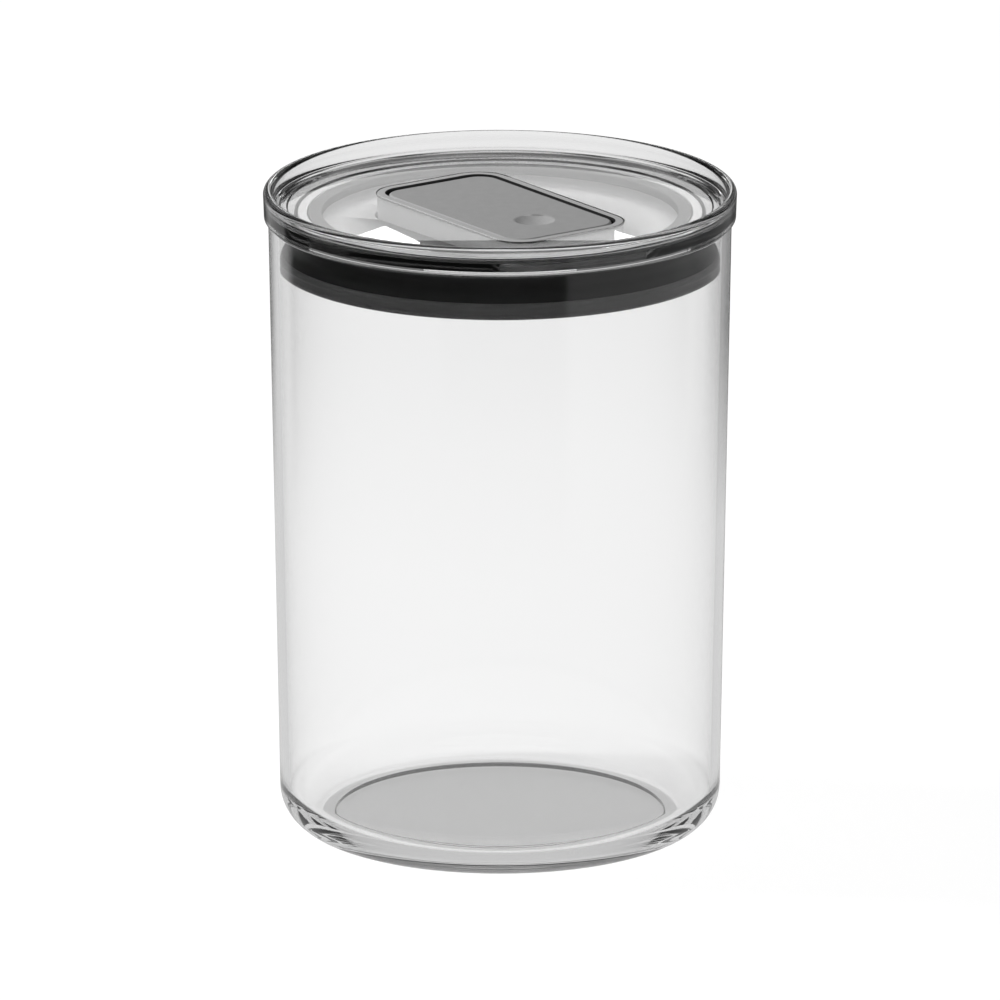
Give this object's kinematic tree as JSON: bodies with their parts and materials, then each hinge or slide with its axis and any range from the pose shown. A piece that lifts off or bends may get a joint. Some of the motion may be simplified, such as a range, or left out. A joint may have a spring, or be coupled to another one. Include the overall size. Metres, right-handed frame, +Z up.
{
  "type": "plastic storage jar",
  "caption": "Clear round storage jar with a flip-lever lid whose soft seal is squeezed by a pressure plate to close airtight.",
  "frame": {"origin": "on the jar's axis, in the plane of its foot ring", "axes": "+Z up along the jar's axis; the lever lies along Y, its pressing end with the dimple towards -Y"},
  "size_m": [0.1204, 0.1204, 0.1675],
  "materials": {
    "jar_clear": "clear, polished",
    "lid_clear": "clear, polished",
    "seal_silicone": "smoky dark silicone, satin",
    "retainer_grey": "satin",
    "plate_frosted": "frosted, translucent",
    "well_frosted": "frosted, translucent",
    "lever_grey": "fine matte grain",
    "pin_steel": "turned",
    "stem_grey": "satin",
    "ring_silicone": "dark silicone",
    "washer_silicone": "dark silicone",
    "screw_steel": "bright"
  },
  "bodies": {
    "jar": {"jar_body": "jar_clear"},
    "lid": {"lid_cover": "lid_clear", "lever_well": "well_frosted", "seal_ring": "seal_silicone", "stem_ring": "ring_silicone"},
    "plate": {"pressure_plate": "plate_frosted", "seal_retainer": "retainer_grey", "lift_stem": "stem_grey", "lever_pin": "pin_steel", "screw_washer": "washer_silicone", "stem_screw": "screw_steel"},
    "lever": {"lever": "lever_grey"}
  },
  "joints": [
    {"name": "lid_lift", "type": "slide", "parent": "jar", "child": "lid", "axis": [0, 0, 1], "range_m": [0, 0.06]},
    {"name": "plate_sink", "type": "slide", "parent": "lid", "child": "plate", "axis": [0, 0, -1], "range_m": [0, 0.0007995], "deforming": ["seal_ring"]},
    {"name": "lever_tilt", "type": "hinge", "parent": "plate", "child": "lever", "pos_m": [0, -0.006, 0.1561], "axis": [1, 0, 0], "range_deg": [0, 20]}
  ],
  "couplings": [
    {"joint": "lever_tilt", "follows": "plate_sink", "rad_per_m": 436.57}
  ]
}
